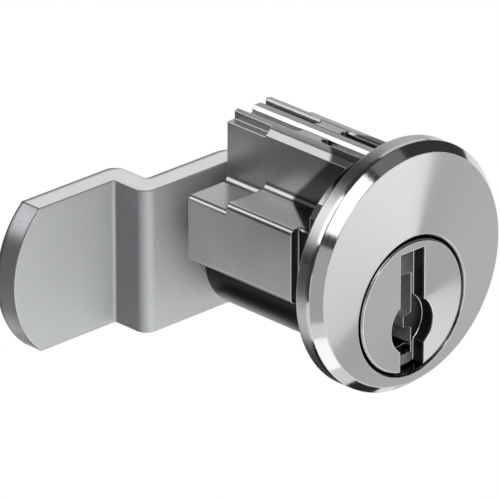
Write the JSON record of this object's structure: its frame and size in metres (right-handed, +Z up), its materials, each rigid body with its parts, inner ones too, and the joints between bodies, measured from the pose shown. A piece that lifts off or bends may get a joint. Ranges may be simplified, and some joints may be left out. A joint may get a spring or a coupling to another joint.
{
  "type": "mailbox lock",
  "caption": "Pin-tumbler mailbox lock with a round bevelled flange, a cross-shaped body with two clip-grooved ears and a stepped cam that turns a quarter turn.",
  "frame": {"origin": "centre of the door cut-out, on the flange's seat against the door", "axes": "+X right seen from the front, +Y back into the door along the plug's axis, +Z up"},
  "size_m": [0.0329, 0.0278, 0.0222],
  "materials": {
    "nickel_casting": "satin nickel plate",
    "nickel_plug": "turned nickel plate",
    "nickel_strip": "satin",
    "plain_steel": "satin",
    "plated_steel_plate": "satin nickel plate",
    "plated_screw": "satin",
    "pin_brass": "turned",
    "spring_steel": "bright drawn"
  },
  "bodies": {
    "housing": {"housing": "nickel_casting", "chamber_cover": "nickel_strip", "pin_spring_1": "spring_steel", "pin_spring_2": "spring_steel", "pin_spring_3": "spring_steel", "pin_spring_4": "spring_steel", "pin_spring_5": "spring_steel"},
    "plug": {"plug": "nickel_plug", "stop_washer": "plain_steel", "cam": "plated_steel_plate", "lock_washer": "spring_steel", "cam_screw": "plated_screw"},
    "driver_1": {"driver_pin_1": "pin_brass"},
    "driver_2": {"driver_pin_2": "pin_brass"},
    "driver_3": {"driver_pin_3": "pin_brass"},
    "driver_4": {"driver_pin_4": "pin_brass"},
    "driver_5": {"driver_pin_5": "pin_brass"},
    "key_1": {"key_pin_1": "pin_brass"},
    "key_2": {"key_pin_2": "pin_brass"},
    "key_3": {"key_pin_3": "pin_brass"},
    "key_4": {"key_pin_4": "pin_brass"},
    "key_5": {"key_pin_5": "pin_brass"}
  },
  "joints": [
    {"name": "plug_turn", "type": "hinge", "parent": "housing", "child": "plug", "pos_m": [0, 0, -0.00333], "axis": [0, 1, 0], "range_deg": [0, 90]},
    {"name": "driver_lift_1", "type": "slide", "parent": "housing", "child": "driver_1", "axis": [0, 0, 1], "range_m": [0, 0.0012], "stiffness_N_per_m": 120, "springref_m": -0.0015, "deforming": ["pin_spring_1"]},
    {"name": "driver_lift_2", "type": "slide", "parent": "housing", "child": "driver_2", "axis": [0, 0, 1], "range_m": [0, 0.0012], "stiffness_N_per_m": 120, "springref_m": -0.0015, "deforming": ["pin_spring_2"]},
    {"name": "driver_lift_3", "type": "slide", "parent": "housing", "child": "driver_3", "axis": [0, 0, 1], "range_m": [0, 0.0012], "stiffness_N_per_m": 120, "springref_m": -0.0015, "deforming": ["pin_spring_3"]},
    {"name": "driver_lift_4", "type": "slide", "parent": "housing", "child": "driver_4", "axis": [0, 0, 1], "range_m": [0, 0.0012], "stiffness_N_per_m": 120, "springref_m": -0.0015, "deforming": ["pin_spring_4"]},
    {"name": "driver_lift_5", "type": "slide", "parent": "housing", "child": "driver_5", "axis": [0, 0, 1], "range_m": [0, 0.0012], "stiffness_N_per_m": 120, "springref_m": -0.0015, "deforming": ["pin_spring_5"]},
    {"name": "key_pin_drop_1", "type": "slide", "parent": "plug", "child": "key_1", "axis": [0, 0, 1], "range_m": [-0.0014, 0]},
    {"name": "key_pin_drop_2", "type": "slide", "parent": "plug", "child": "key_2", "axis": [0, 0, 1], "range_m": [-0.002, 0]},
    {"name": "key_pin_drop_3", "type": "slide", "parent": "plug", "child": "key_3", "axis": [0, 0, 1], "range_m": [-0.0008, 0]},
    {"name": "key_pin_drop_4", "type": "slide", "parent": "plug", "child": "key_4", "axis": [0, 0, 1], "range_m": [-0.0023, 0]},
    {"name": "key_pin_drop_5", "type": "slide", "parent": "plug", "child": "key_5", "axis": [0, 0, 1], "range_m": [-0.0011, 0]}
  ]
}
